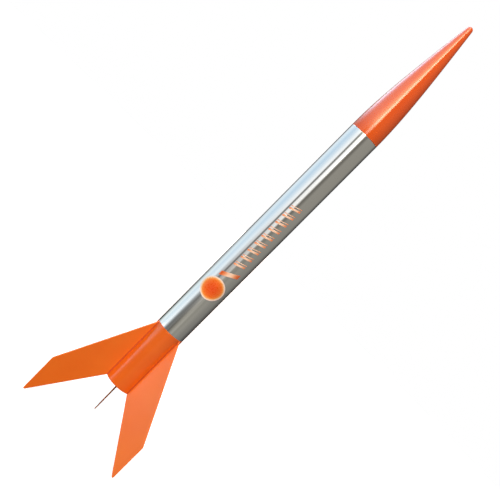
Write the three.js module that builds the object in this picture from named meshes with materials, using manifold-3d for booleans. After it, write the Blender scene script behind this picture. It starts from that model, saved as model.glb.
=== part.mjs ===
// A flying model rocket: a card tube with a mirror film skin, a hollow plastic nose cone and a
// plastic tail can that holds three fins, a motor mount and a motor. The parachute and its elastic
// cord are packed in the tube. Millimetres, +Z towards the nose, and z = 0 is the plane of the fin
// tips that the rocket stands on. One fin points along +Y.
import * as THREE from 'three';
import { mergeVertices } from 'three/addons/utils/BufferGeometryUtils.js';
import Module from 'manifold-3d';

const wasm = await Module();
wasm.setup();

// Driving dimensions
const facets = 48; // sides of every round piece about the rocket's axis
const gap = 0.3; // left between pieces whose facets don't line up
const tubeR = 17.1;
const tubeWall = 0.55;
const tailZ = 63; // rear rim of the tail can
const canFrontZ = 142.4; // joint of tail can and body tube
const tubeFrontZ = 425.4; // joint of body tube and nose cone
const noseTipZ = 577.4;
const shoulderClearance = 0.25;

const finAzimuths = [-30, -150, 90]; // degrees
const finThickness = 1.3;
const finTipR = 74.9;
const finTipFrontZ = 44.6;
const finFootLength = 2; // flat on the acute rear corner of each fin
const tabInnerR = 11;
const tabZ = [78, 126];

const motorR = 8.8;
const motorLength = 70;
const motorRearZ = 65.5;
const motorFrontZ = motorRearZ + motorLength;
const caseInnerR = 6.4;
const mountInnerR = 9.1;
const mountOuterR = 9.4;
const mountZ = [71, 144];

const hookAzimuth = 150;
const hookWidth = 3.6;
const hookThickness = 0.7;
const lugAzimuth = 30;
const lugZ = [72, 124];

const tubeInnerR = tubeR - tubeWall;
const shoulderR = tubeInnerR - shoulderClearance;
const canInnerR = tubeR - 1.5;
const canShoulderInnerR = shoulderR - 1.4;
const canShoulderFrontZ = canFrontZ + 20;
const noseShoulderRearZ = tubeFrontZ - 25;

// Materials
function material(color, roughness, metalness = 0) {
  return new THREE.MeshStandardMaterial({ color, roughness, metalness });
}

const orangeNose = '#f0602a';
const orangeFins = '#f2652a';
const orangeCan = '#f07820';
const kraftCard = '#b08a5c';

// Geometry helpers
function cleaned(geometry) {
  // One closed mesh: shared corners merged, slivers dropped, faces pointing out.
  const bare = new THREE.BufferGeometry();
  bare.setAttribute('position', geometry.getAttribute('position').clone());
  if (geometry.index) bare.setIndex(geometry.index.clone());
  const merged = mergeVertices(bare, 1e-4);
  const corners = merged.getIndex().array;
  const kept = [];
  for (let i = 0; i < corners.length; i += 3) {
    const [a, b, c] = corners.slice(i, i + 3);
    if (a !== b && b !== c && c !== a) kept.push(a, b, c);
  }
  merged.setIndex(kept);
  if (signedVolume(merged) < 0) merged.setIndex(kept.reverse());
  merged.computeVertexNormals();
  return merged;
}

function signedVolume(geometry) {
  const place = geometry.getAttribute('position');
  const corners = geometry.getIndex().array;
  const [a, b, c] = [new THREE.Vector3(), new THREE.Vector3(), new THREE.Vector3()];
  let volume = 0;
  for (let i = 0; i < corners.length; i += 3) {
    a.fromBufferAttribute(place, corners[i]);
    b.fromBufferAttribute(place, corners[i + 1]);
    c.fromBufferAttribute(place, corners[i + 2]);
    volume += a.dot(b.cross(c)) / 6;
  }
  return volume;
}

function solidOf(geometry) {
  const mesh = cleaned(geometry);
  return new wasm.Manifold(new wasm.Mesh({
    numProp: 3,
    vertProperties: Float32Array.from(mesh.getAttribute('position').array),
    triVerts: Uint32Array.from(mesh.getIndex().array),
  }));
}

function geometryOf(solid) {
  const mesh = solid.getMesh();
  const geometry = new THREE.BufferGeometry();
  geometry.setAttribute('position', new THREE.BufferAttribute(mesh.vertProperties, 3));
  geometry.setIndex(new THREE.BufferAttribute(mesh.triVerts, 1));
  return geometry;
}

function joined(...geometries) {
  return geometryOf(geometries.map(solidOf).reduce((whole, piece) => whole.add(piece)));
}

function cut(geometry, ...cutters) {
  return geometryOf(cutters.map(solidOf).reduce((rest, cutter) => rest.subtract(cutter), solidOf(geometry)));
}

function turned(profile, sides = facets) {
  // profile is a list of [radius, z] that closes on itself or starts and ends on the axis.
  const points = profile.map(([r, z]) => new THREE.Vector2(r, z));
  return new THREE.LatheGeometry(points, sides).rotateX(Math.PI / 2);
}

function ring(innerR, outerR, rearZ, frontZ, sides = facets) {
  return turned([
    [innerR, rearZ],
    [outerR, rearZ],
    [outerR, frontZ],
    [innerR, frontZ],
    [innerR, rearZ],
  ], sides);
}

function disc(r, rearZ, frontZ, sides = facets) {
  return turned([[0, rearZ], [r, rearZ], [r, frontZ], [0, frontZ]], sides);
}

function block(rangeX, rangeY, rangeZ) {
  const ranges = [rangeX, rangeY, rangeZ];
  const size = ranges.map(([low, high]) => high - low);
  const middle = ranges.map(([low, high]) => (low + high) / 2);
  return new THREE.BoxGeometry(...size).translate(...middle);
}

function plate(outline, thickness) {
  // A flat plate standing in the XZ plane, centred on it, from an outline of [x, z].
  const shape = new THREE.Shape(outline.map(([x, z]) => new THREE.Vector2(x, z)));
  const geometry = new THREE.ExtrudeGeometry(shape, { depth: thickness, bevelEnabled: false });
  return geometry.translate(0, 0, -thickness / 2).rotateX(Math.PI / 2);
}

function radians(degrees) {
  return THREE.MathUtils.degToRad(degrees);
}

function linkInYZ(y, z, majorR, wireR) {
  return new THREE.TorusGeometry(majorR, wireR, 8, 20).rotateY(Math.PI / 2).translate(0, y, z);
}

// The rocket's bodies, filled below
const rocket = new THREE.Group();
const airframe = new THREE.Group();
const nose = new THREE.Group();
const recoveryPack = new THREE.Group();
const motor = new THREE.Group();
rocket.add(airframe, nose, recoveryPack, motor);

function addPiece(group, name, geometry, look, azimuth = 0) {
  const mesh = new THREE.Mesh(cleaned(geometry), look);
  mesh.name = name;
  mesh.rotation.z = radians(azimuth);
  group.add(mesh);
}

// Body tube: spiral-wound card under a mirror film, cut square at both ends
function addBodyTube() {
  const tube = ring(tubeInnerR, tubeR, canFrontZ, tubeFrontZ);
  addPiece(airframe, 'body_tube', tube, material('#c9ced6', 0.12, 1));
}

// Tail can: a moulded sleeve flush with the tube, a shoulder that plugs into it, and fin slots
function addFinCan() {
  const sleeve = turned([
    [canInnerR, tailZ],
    [tubeR, tailZ],
    [tubeR, canFrontZ],
    [shoulderR, canFrontZ],
    [shoulderR, canShoulderFrontZ],
    [canShoulderInnerR, canShoulderFrontZ],
    [canShoulderInnerR, canFrontZ + 1],
    [canInnerR, canFrontZ],
    [canInnerR, tailZ],
  ]);
  const slotHalf = finThickness / 2 + gap;
  const slots = finAzimuths.map((azimuth) => block(
    [tabInnerR, tubeR + 1],
    [-slotHalf, slotHalf],
    [tabZ[0] - gap, tabZ[1] + gap],
  ).rotateZ(radians(azimuth)));
  addPiece(airframe, 'fin_can', cut(sleeve, ...slots), material(orangeCan, 0.3));
}

// Fins: thin swept plates whose root tabs go through the slots in the can
function addFins() {
  const rootR = tubeR + gap;
  const outline = [
    [rootR, canFrontZ],
    [rootR, tabZ[1]],
    [tabInnerR, tabZ[1]],
    [tabInnerR, tabZ[0]],
    [rootR, tabZ[0]],
    [rootR, tailZ],
    [finTipR - finFootLength, 0],
    [finTipR, 0],
    [finTipR, finTipFrontZ],
  ];
  finAzimuths.forEach((azimuth, i) => {
    addPiece(airframe, `fin_${i + 1}`, plate(outline, finThickness), material(orangeFins, 0.35), azimuth);
  });
}

// Launch lug: the straw that the launch rod runs through
function addLaunchLug() {
  const lugInnerR = 2.0;
  const lugOuterR = 2.4;
  const straw = ring(lugInnerR, lugOuterR, ...lugZ, 16).translate(tubeR + lugOuterR + gap, 0, 0);
  addPiece(airframe, 'launch_lug', straw, material('#e9e6dc', 0.4), lugAzimuth);
}

// Motor mount: a card tube held in the can by two rings, with a thrust ring in front of the motor
const hookInnerR = mountOuterR + gap;
const hookOuterR = hookInnerR + hookThickness;
const clawZ = [motorFrontZ + 0.4, motorFrontZ + 0.4 + hookThickness];

function addMotorMount() {
  const card = material(kraftCard, 0.8);
  const hookSlotHalf = hookWidth / 2 + gap;
  const clawSlot = block(
    [caseInnerR, mountOuterR + 1],
    [-hookSlotHalf, hookSlotHalf],
    [clawZ[0] - gap, clawZ[1] + gap],
  );
  const tube = cut(ring(mountInnerR, mountOuterR, ...mountZ), clawSlot);
  addPiece(airframe, 'motor_tube', tube, card, hookAzimuth);

  const ringInnerR = mountOuterR + gap;
  const ringOuterR = canInnerR - gap;
  const ringDepth = 3;
  const rearZ = 72.5;
  const hookSwing = 3.1; // room for the hook to be pulled outward
  const notch = block(
    [mountOuterR, hookOuterR + hookSwing],
    [-hookSlotHalf, hookSlotHalf],
    [rearZ - 1, rearZ + ringDepth + 1],
  );
  const rearRing = cut(ring(ringInnerR, ringOuterR, rearZ, rearZ + ringDepth), notch);
  addPiece(airframe, 'rear_centering_ring', rearRing, card, hookAzimuth);

  const frontZ = 138.2;
  const frontRing = ring(ringInnerR, ringOuterR, frontZ, frontZ + ringDepth);
  addPiece(airframe, 'front_centering_ring', frontRing, card);

  const thrustRing = ring(caseInnerR, mountInnerR - gap, clawZ[1] + 0.4, clawZ[1] + 5.4);
  addPiece(airframe, 'thrust_ring', thrustRing, card);

  const bandZ = [128, 133];
  const bandOuterR = 11.6;
  const hookPlay = 0.45;
  const channel = block(
    [mountOuterR, hookOuterR + hookPlay],
    [-hookSlotHalf, hookSlotHalf],
    [bandZ[0] - 1, bandZ[1] + 1],
  );
  const band = cut(ring(ringInnerR, bandOuterR, ...bandZ), channel);
  addPiece(airframe, 'hook_band', band, material('#2b2f36', 0.5), hookAzimuth);
}

// Motor hook: a spring steel strip with a claw through the mount in front and a finger tab behind
function addMotorHook() {
  const rearClawZ = motorRearZ - 1;
  const clawInnerR = 7;
  const tabRearZ = 60.2;
  const outline = [
    [hookOuterR, clawZ[1]],
    [hookOuterR, rearClawZ],
    [clawInnerR + hookThickness, rearClawZ],
    [clawInnerR + hookThickness, tabRearZ],
    [clawInnerR, tabRearZ],
    [clawInnerR, rearClawZ + hookThickness],
    [hookInnerR, rearClawZ + hookThickness],
    [hookInnerR, clawZ[0]],
    [clawInnerR + 0.4, clawZ[0]],
    [clawInnerR + 0.4, clawZ[1]],
  ];
  addPiece(rocket, 'engine_hook', plate(outline, hookWidth), material('#8d9196', 0.3, 1), hookAzimuth);
}

// Motor: paper case, clay nozzle, propellant grain, delay grain and clay end cap
function addMotor() {
  const fillR = caseInnerR - gap;
  const throatR = 1.6;
  const nozzleFrontZ = motorRearZ + 9;
  const grainFrontZ = nozzleFrontZ + 26;
  const delayFrontZ = grainFrontZ + 11;
  const capRearZ = motorFrontZ - 8;
  const caseTube = ring(caseInnerR, motorR, motorRearZ, motorFrontZ);
  addPiece(motor, 'motor_case', caseTube, material('#8a4a35', 0.7));

  const nozzle = turned([
    [throatR, motorRearZ + 4],
    [throatR + 1.8, motorRearZ + 0.8],
    [fillR, motorRearZ + 0.8],
    [fillR, nozzleFrontZ],
    [throatR, nozzleFrontZ],
    [throatR, motorRearZ + 4],
  ], 24);
  addPiece(motor, 'motor_nozzle', nozzle, material('#9b9184', 0.9));

  const coreDepth = 7;
  const grain = turned([
    [0, grainFrontZ],
    [fillR, grainFrontZ],
    [fillR, nozzleFrontZ + gap],
    [throatR, nozzleFrontZ + gap],
    [0, nozzleFrontZ + coreDepth],
  ], 24);
  addPiece(motor, 'motor_propellant', grain, material('#34312f', 0.85));
  const delay = disc(fillR, grainFrontZ + gap, delayFrontZ, 24);
  addPiece(motor, 'motor_delay', delay, material('#5b5750', 0.85));
  const cap = disc(fillR, capRearZ, capRearZ + 3, 24);
  addPiece(motor, 'motor_end_cap', cap, material('#a59a8a', 0.9));
}

// Nose cone: hollow, rounded above the tube, then a nearly straight taper to a blunt round tip
function addNoseCone() {
  const wall = 1.5;
  const tipR = 3.5;
  const taper = 0.13; // radius lost for each millimetre of height above the rounded part
  const taperAngle = Math.atan(taper);
  const length = noseTipZ - tubeFrontZ;
  const tipStart = new THREE.Vector2(
    tipR * Math.cos(taperAngle),
    length - tipR + tipR * Math.sin(taperAngle),
  );
  const flank = new THREE.CubicBezierCurve(
    new THREE.Vector2(tubeR, 0),
    new THREE.Vector2(tubeR, 34),
    new THREE.Vector2(tipStart.x + taper * 78, tipStart.y - 78),
    tipStart,
  );
  const flankPoints = flank.getPoints(14).map((point) => [point.x, tubeFrontZ + point.y]);
  const tipPoints = [];
  const tipSteps = 5;
  for (let i = 1; i <= tipSteps; i += 1) {
    const angle = THREE.MathUtils.lerp(taperAngle, Math.PI / 2, i / tipSteps);
    const r = i === tipSteps ? 0 : tipR * Math.cos(angle);
    tipPoints.push([r, noseTipZ - tipR + tipR * Math.sin(angle)]);
  }
  const innerPoints = [];
  flankPoints.forEach(([r, z], i) => {
    if (i % 2 === 0 && r > wall + tipR) innerPoints.unshift([r - wall, z]);
  });
  const innerTopZ = innerPoints[0][1] + 8;
  const shoulderInnerR = shoulderR - 1.4;
  const shell = turned([
    [0, innerTopZ],
    ...innerPoints,
    [shoulderInnerR, tubeFrontZ - 1],
    [shoulderInnerR, noseShoulderRearZ],
    [shoulderR, noseShoulderRearZ],
    [shoulderR, tubeFrontZ + 0.1],
    ...flankPoints.map(([r, z]) => [r, z + 0.1]),
    ...tipPoints,
  ]);
  addPiece(nose, 'nose_cone', shell, material(orangeNose, 0.25));
}

// Plug: closes the shoulder and carries the moulded eyelet
const eyeletZ = 397.3;

function addNosePlug() {
  const plugR = shoulderR - 1.4 - gap;
  const cup = turned([
    [0, noseShoulderRearZ + 0.1],
    [plugR, noseShoulderRearZ + 0.1],
    [plugR, noseShoulderRearZ + 9],
    [plugR - 1.2, noseShoulderRearZ + 9],
    [plugR - 1.2, noseShoulderRearZ + 2.5],
    [0, noseShoulderRearZ + 2.5],
  ]);
  const eyelet = new THREE.TorusGeometry(3.5, 1.2, 10, 24).rotateX(Math.PI / 2).translate(0, 0, eyeletZ);
  addPiece(nose, 'nose_base_plug', joined(cup, eyelet), material(orangeNose, 0.35));
}

// Swivel: a wire link through the eyelet, a barrel and a small loop for the shroud lines
function addSwivel() {
  const linkZ = 392.5;
  const barrelZ = [384.5, 389.2];
  const loopZ = 382.7;
  const wire = joined(
    linkInYZ(0, linkZ, 3.4, 0.5),
    disc(1.3, ...barrelZ, 12),
    linkInYZ(0, loopZ, 1.7, 0.45),
  );
  addPiece(nose, 'snap_swivel', wire, material('#b9a46a', 0.25, 1));
}

// Parachute: the rolled canopy lies to one side of the tube, its lines run up to the swivel
const rollR = 10;
const rollY = -5.8;
const rollZ = [212, 330];

function addParachute() {
  const skin = 0.6;
  const roll = turned([
    [0, rollZ[0]],
    [rollR, rollZ[0]],
    [rollR, rollZ[1]],
    [rollR - skin, rollZ[1]],
    [rollR - skin, rollZ[0] + skin],
    [0, rollZ[0] + skin],
  ], 28).translate(0, rollY, 0);
  addPiece(recoveryPack, 'parachute_canopy', roll, material('#f4f1ea', 0.4));

  const route = new THREE.CatmullRomCurve3([
    new THREE.Vector3(0, rollY, rollZ[0] + 6),
    new THREE.Vector3(0, rollY, rollZ[1] - 10),
    new THREE.Vector3(0, rollY, rollZ[1] + 8),
    new THREE.Vector3(0, rollY / 2, 358),
    new THREE.Vector3(0, -0.4, 372),
    new THREE.Vector3(0, 0, 380),
  ]);
  const section = new THREE.Shape().absarc(0, 0, 0.9, 0, Math.PI * 2);
  const lines = new THREE.ExtrudeGeometry(section, {
    curveSegments: 4,
    steps: 24,
    bevelEnabled: false,
    extrudePath: route,
  });
  addPiece(recoveryPack, 'shroud_lines', lines, material('#f2efe6', 0.8));
}

// Elastic shock cord: from its anchor on the tube wall, folded in short layers, up to the eyelet
const cordThickness = 1;
const cordWidth = 3.2;
const anchorZ = [360, 386];

function cordLead(points, steps) {
  const section = new THREE.Shape([
    new THREE.Vector2(-cordThickness / 2, -cordThickness / 2),
    new THREE.Vector2(cordThickness / 2, -cordThickness / 2),
    new THREE.Vector2(cordThickness / 2, cordThickness / 2),
    new THREE.Vector2(-cordThickness / 2, cordThickness / 2),
  ]);
  const route = new THREE.CatmullRomCurve3(points.map((point) => new THREE.Vector3(...point)));
  return new THREE.ExtrudeGeometry(section, { steps, bevelEnabled: false, extrudePath: route });
}

function foldedStack(layers, pitch, halfRun, firstZ, endX) {
  // A strip folded to and fro in the XZ plane; each centre point carries its tangent.
  const centres = [];
  const turnSteps = 4;
  for (let i = 0; i < layers; i += 1) {
    const z = firstZ + i * pitch;
    const side = i % 2 === 0 ? 1 : -1;
    centres.push([-side * halfRun, z, side, 0]);
    if (i === layers - 1) {
      centres.push([side * endX, z, side, 0]);
    } else {
      for (let k = 0; k <= turnSteps; k += 1) {
        const angle = (Math.PI * k) / turnSteps;
        const x = side * (halfRun + (pitch / 2) * Math.sin(angle));
        const turnZ = z + (pitch / 2) * (1 - Math.cos(angle));
        centres.push([x, turnZ, side * Math.cos(angle), Math.sin(angle)]);
      }
    }
  }
  const half = cordThickness / 2;
  const left = centres.map(([x, z, tx, tz]) => [x - tz * half, z + tx * half]);
  const right = centres.map(([x, z, tx, tz]) => [x + tz * half, z - tx * half]);
  return [...left, ...right.reverse()];
}

function addShockCord() {
  const stackY = 7.8;
  const firstZ = 336;
  const stack = plate(foldedStack(28, 2, 9, firstZ, 4), cordWidth).translate(0, stackY, 0);
  const fromAnchor = cordLead([
    [-8, stackY, firstZ],
    [-10.5, stackY + 0.5, firstZ - 0.2],
    [-9, 11, firstZ + 3],
    [-3.5, 13.6, firstZ + 9],
    [0, 13.8, firstZ + 17],
    [0, 13.8, anchorZ[0] + 4],
  ], 20);
  const toEyelet = cordLead([
    [-2, stackY, firstZ + 54],
    [5, stackY, firstZ + 54.2],
    [7.2, stackY - 1.8, firstZ + 57],
    [6.2, 3.4, eyeletZ - 0.6],
  ], 12);
  addPiece(airframe, 'shock_cord', joined(stack, fromAnchor, toEyelet), material('#e8e4da', 0.85));
}

// Anchor: a folded card tab glued to the tube's inside wall, over the cord's end
function addShockCordAnchor() {
  const thickness = 0.9;
  const outerR = tubeInnerR - gap;
  const halfAngle = 32;
  const arc = new THREE.Shape();
  arc.absarc(0, 0, outerR, radians(90 - halfAngle), radians(90 + halfAngle), false);
  arc.absarc(0, 0, outerR - thickness, radians(90 + halfAngle), radians(90 - halfAngle), true);
  const depth = anchorZ[1] - anchorZ[0];
  const tab = new THREE.ExtrudeGeometry(arc, { depth, bevelEnabled: false, curveSegments: 8 });
  addPiece(airframe, 'shock_cord_anchor', tab.translate(0, 0, anchorZ[0]), material('#efe9d8', 0.9));
}

// Recovery wadding: two flame-proof paper sheets pressed into loose cups under the parachute
function addWadding() {
  const cupR = tubeInnerR - 0.7;
  const paper = 0.5;
  const sheets = [['wadding_rear', 172, 14], ['wadding_front', 190, 12]];
  for (const [name, rearZ, rise] of sheets) {
    const outer = [];
    const steps = 5;
    for (let k = 0; k <= steps; k += 1) {
      const angle = (Math.PI / 2) * (k / steps);
      outer.push([cupR * Math.sin(angle), rearZ + rise * (1 - Math.cos(angle))]);
    }
    outer[0][0] = 0;
    const inner = outer.map(([r, z], k) => [k === 0 ? 0 : r - (paper * k) / steps, z + paper]);
    const cup = turned([...outer, ...inner.reverse()], 28);
    addPiece(airframe, name, cup, material('#dfe3d2', 0.95));
  }
}

// Decals: thin printed film laid on the tube, a round one and a long one ahead of it
const decalR = [tubeR + 0.05, tubeR + 0.17];

function addDecals() {
  const film = ring(...decalR, canFrontZ + 20, tubeFrontZ - 20);
  const emblemR = 13;
  const emblemZ = 206.4;
  const punch = new THREE.CylinderGeometry(emblemR, emblemR, tubeR + 4, 40);
  punch.translate(0, (tubeR + 4) / 2, 0).rotateX(Math.PI);
  const emblem = geometryOf(solidOf(film).intersect(solidOf(punch.translate(0, 0, emblemZ))));
  addPiece(airframe, 'emblem_decal', emblem, material('#f58a2c', 0.4), 1.3);

  const stripeZ = [220.5, 334];
  const stripeAngles = [-21, 46];
  const arc = new THREE.Shape();
  arc.absarc(0, 0, decalR[1], radians(stripeAngles[0]), radians(stripeAngles[1]), false);
  arc.absarc(0, 0, decalR[0], radians(stripeAngles[1]), radians(stripeAngles[0]), true);
  const depth = stripeZ[1] - stripeZ[0];
  const stripe = new THREE.ExtrudeGeometry(arc, { depth, bevelEnabled: false, curveSegments: 8 });
  addPiece(airframe, 'stripe_decal', stripe.translate(0, 0, stripeZ[0]), material('#f2a45c', 0.4), -90);
}

addBodyTube();
addFinCan();
addFins();
addLaunchLug();
addMotorMount();
addMotorHook();
addMotor();
addNoseCone();
addNosePlug();
addSwivel();
addParachute();
addShockCord();
addShockCordAnchor();
addWadding();
addDecals();

export default rocket;
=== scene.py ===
import math

import bpy
from mathutils import Matrix, Vector, noise


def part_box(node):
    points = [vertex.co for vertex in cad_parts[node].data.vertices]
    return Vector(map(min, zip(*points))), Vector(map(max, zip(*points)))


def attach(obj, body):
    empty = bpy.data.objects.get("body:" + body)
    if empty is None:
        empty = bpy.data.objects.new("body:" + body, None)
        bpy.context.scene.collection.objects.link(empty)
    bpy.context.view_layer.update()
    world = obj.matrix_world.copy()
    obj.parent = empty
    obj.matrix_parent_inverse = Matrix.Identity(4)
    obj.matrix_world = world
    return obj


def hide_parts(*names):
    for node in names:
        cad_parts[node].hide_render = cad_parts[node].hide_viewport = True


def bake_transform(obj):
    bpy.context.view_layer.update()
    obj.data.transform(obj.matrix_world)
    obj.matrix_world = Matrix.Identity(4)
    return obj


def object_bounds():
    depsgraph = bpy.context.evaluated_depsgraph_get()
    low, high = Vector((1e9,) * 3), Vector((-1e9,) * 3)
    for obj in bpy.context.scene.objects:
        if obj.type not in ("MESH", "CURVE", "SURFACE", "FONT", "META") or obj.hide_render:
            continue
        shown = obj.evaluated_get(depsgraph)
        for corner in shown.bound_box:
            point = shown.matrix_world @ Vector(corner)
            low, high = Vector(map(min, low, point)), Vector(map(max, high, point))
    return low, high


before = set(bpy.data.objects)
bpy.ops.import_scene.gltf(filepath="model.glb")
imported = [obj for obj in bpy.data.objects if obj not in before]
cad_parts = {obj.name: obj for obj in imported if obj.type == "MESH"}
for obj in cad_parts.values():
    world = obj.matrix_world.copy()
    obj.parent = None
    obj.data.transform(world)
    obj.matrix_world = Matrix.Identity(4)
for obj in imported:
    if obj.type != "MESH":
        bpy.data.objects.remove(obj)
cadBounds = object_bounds()

mm = 0.001

# places and sizes that everything is worked out from
tubeRear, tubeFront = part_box("body_tube")
tubeR = tubeFront.x
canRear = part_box("fin_can")[0].z
canFront = tubeRear.z
noseRear = tubeFront.z
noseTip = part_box("nose_cone")[1].z
finAzimuths = {"fin_1": -30, "fin_2": -150, "fin_3": 90}


# small helpers for selecting, turning and finishing meshes

def deselect():
    bpy.ops.object.select_all(action="DESELECT")


def pick(piece):
    deselect()
    piece.select_set(True)
    bpy.context.view_layer.objects.active = piece


def editAll(piece):
    pick(piece)
    bpy.ops.object.mode_set(mode="EDIT")
    bpy.ops.mesh.select_all(action="SELECT")


def leaveEdit():
    bpy.ops.object.mode_set(mode="OBJECT")


def choose(piece, mode, wanted):
    # into edit mode with only the wanted "VERT"s, "EDGE"s or "FACE"s selected
    editAll(piece)
    bpy.ops.mesh.select_mode(type=mode)
    bpy.ops.mesh.select_all(action="DESELECT")
    leaveEdit()
    parts = {"VERT": piece.data.vertices, "EDGE": piece.data.edges, "FACE": piece.data.polygons}[mode]
    for part in parts:
        part.select = wanted(part)
    bpy.ops.object.mode_set(mode="EDIT")


def settle(piece, smoothAngle=35):
    # place goes into the mesh, doubles go, faces point out
    pick(piece)
    bpy.ops.object.transform_apply(location=True, rotation=True, scale=True)
    editAll(piece)
    bpy.ops.mesh.remove_doubles(threshold=0.002 * mm)
    bpy.ops.mesh.normals_make_consistent(inside=False)
    leaveEdit()
    bpy.ops.object.shade_smooth_by_angle(angle=math.radians(smoothAngle))
    return piece


def applyModifier(piece, kind, **settings):
    pick(piece)
    modifier = piece.modifiers.new(kind.lower(), kind)
    for key, value in settings.items():
        setattr(modifier, key, value)
    bpy.ops.object.modifier_apply(modifier=modifier.name)


def turnAbout(piece, azimuth):
    # turns a settled piece about the rocket's axis
    pick(piece)
    piece.rotation_euler = (0, 0, math.radians(azimuth))
    bpy.ops.object.transform_apply(location=False, rotation=True, scale=False)


def add(primitive, name, **settings):
    # one of the mesh primitives, alone in the selection and named
    deselect()
    primitive(**settings)
    piece = bpy.context.object
    piece.name = piece.data.name = name
    return piece


def raised(name, stations, sides=128, centre=(0, 0)):
    # a round piece raised ring by ring from (radius, height) stations; a radius of 0 closes it to a point
    pinhole = 0.01 * mm
    radius, height = stations[0]
    piece = add(bpy.ops.mesh.primitive_circle_add, name, vertices=sides, radius=max(radius, pinhole),
                location=(*centre, height))
    editAll(piece)
    for nextRadius, nextHeight in stations[1:]:
        bpy.ops.mesh.extrude_edges_move(TRANSFORM_OT_translate={"value": (0, 0, nextHeight - height)})
        grow = max(nextRadius, pinhole) / max(radius, pinhole)
        bpy.ops.transform.resize(value=(grow, grow, 1), center_override=(*centre, nextHeight))
        radius, height = nextRadius, nextHeight
    if radius == 0:
        bpy.ops.mesh.merge(type="CENTER")
    leaveEdit()
    if stations[0][0] == 0:  # the first ring is a pinhole round the piece's own origin
        choose(piece, "VERT", lambda vertex: vertex.co.length < 2 * pinhole)
        bpy.ops.mesh.merge(type="CENTER")
        leaveEdit()
    return piece


def linear(hexText):
    channels = [int(hexText[i:i + 2], 16) / 255 for i in (1, 3, 5)]
    return [c / 12.92 if c < 0.04045 else ((c + 0.055) / 1.055) ** 2.4 for c in channels] + [1.0]


def addNode(tree, kind, inputs=None, stops=(), **settings):
    # Adds one node. An input given as a socket, or as a node for its first live output, is linked and
    # anything else is set on it; the stops are a colour ramp's (position, colour) pairs.
    node = tree.nodes.new("ShaderNode" + kind)
    for key, value in settings.items():
        setattr(node, key, value)
    for key, value in (inputs or {}).items():
        if isinstance(value, bpy.types.Node):
            value = next(output for output in value.outputs if output.enabled)
        if isinstance(value, bpy.types.NodeSocket):
            tree.links.new(value, node.inputs[key])
        else:
            node.inputs[key].default_value = value
    for number, (position, colour) in enumerate(stops):
        elements = node.color_ramp.elements
        element = elements.new(position) if number > 1 else elements[number]
        element.position, element.color = position, linear(colour)
    return node


def startMaterial(name):
    # a material, its node tree and the place on the piece that its patterns follow
    material = bpy.data.materials.new(name)
    material.use_nodes = True
    tree = material.node_tree
    tree.nodes.clear()
    return material, tree, addNode(tree, "TexCoord").outputs["Object"]


def finishMaterial(material, inputs):
    shader = addNode(material.node_tree, "BsdfPrincipled", inputs)
    addNode(material.node_tree, "OutputMaterial", {"Surface": shader})
    return material


def coat(piece, material):
    piece.data.materials.clear()
    piece.data.materials.append(material)


def helixSeam(tree, spot, pitch, share):
    # 0 to 1 across a thin helical seam, one turn of the winding every pitch
    split = addNode(tree, "SeparateXYZ", {"Vector": spot})
    turn = addNode(tree, "Math", {0: split.outputs["Y"], 1: split.outputs["X"]}, operation="ARCTAN2")
    turns = addNode(tree, "Math", {0: turn, 1: 1 / (2 * math.pi)}, operation="MULTIPLY")
    climb = addNode(tree, "Math", {0: split.outputs["Z"], 1: 1 / pitch, 2: turns}, operation="MULTIPLY_ADD")
    saw = addNode(tree, "Math", {0: climb}, operation="FRACT")
    return addNode(tree, "MapRange", {"Value": saw, "From Max": share}, interpolation_type="SMOOTHSTEP")


def grained(name, colours, grain, relief, gloss=None, stain=None, stretch=1.0, **inputs):
    # The grain, a (scale, detail), gives the relief, a (strength, depth), and the gloss between two
    # roughnesses. The colour drifts with it, or with a stain of its own. Other inputs use _ for a space.
    material, tree, spot = startMaterial(name)
    along = addNode(tree, "Mapping", {"Vector": spot, "Scale": (1.0, 1.0, stretch)})
    fine = drift = addNode(tree, "TexNoise", {"Vector": along, "Scale": grain[0], "Detail": grain[1]})
    if stain:
        drift = addNode(tree, "TexNoise", {"Vector": spot, "Scale": stain[0], "Detail": stain[1]})
    settings = {key.replace("_", " "): value for key, value in inputs.items()}
    settings["Base Color"] = addNode(tree, "ValToRGB", {"Fac": drift}, list(enumerate(colours)))
    settings["Normal"] = addNode(tree, "Bump", {
        "Height": fine, "Strength": relief[0], "Distance": relief[1]})
    if gloss:
        settings["Roughness"] = addNode(tree, "MapRange", {
            "Value": fine, "To Min": gloss[0], "To Max": gloss[1]})
    return finishMaterial(material, settings)


def place(piece, body, nodes, material):
    # the piece gets its finish, rides on its body and stands for its CAD nodes
    applyModifier(piece, "WEIGHTED_NORMAL", keep_sharp=True)  # flats stay flat beside rounded edges
    coat(piece, material)
    if body:  # a piece that is blended between two bodies rides on neither
        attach(piece, body)
    if nodes:
        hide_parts(*nodes)


# starting shapes: tubes, slugs, blocks, strips, wires and rings

def ease(piece, width, segments=2, sharper=60):
    # rounds every edge that turns by more than the given degrees
    applyModifier(piece, "BEVEL", width=width, segments=segments, limit_method="ANGLE",
                  angle_limit=math.radians(sharper))


def tubeOf(name, innerR, outerR, rear, front, edge, sides=96, centre=(0, 0)):
    # a length of tube with eased rims
    stations = [(innerR, rear), (outerR, rear), (outerR, front), (innerR, front), (innerR, rear)]
    tube = raised(name, stations, sides, centre)
    settle(tube)
    ease(tube, edge)
    return settle(tube)


def plugOf(name, radius, rear, front, edge, sides=72):
    # a solid round slug, slightly dished in front
    stations = [(0, rear), (radius * 0.5, rear), (radius - edge, rear), (radius, rear + edge),
                (radius, front - edge), (radius - edge, front), (radius * 0.55, front - 0.1 * mm),
                (0, front - edge)]
    return settle(raised(name, stations, sides))


def blockOf(name, low, high):
    # a block between two corners
    block = add(bpy.ops.mesh.primitive_cube_add, name, size=1,
                location=[(a + b) / 2 for a, b in zip(low, high)])
    block.scale = [b - a for a, b in zip(low, high)]
    return settle(block)


def cutAway(piece, cutter, operation="DIFFERENCE"):
    applyModifier(piece, "BOOLEAN", object=cutter, operation=operation, solver="EXACT")
    bpy.data.objects.remove(cutter)
    return settle(piece)


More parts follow.
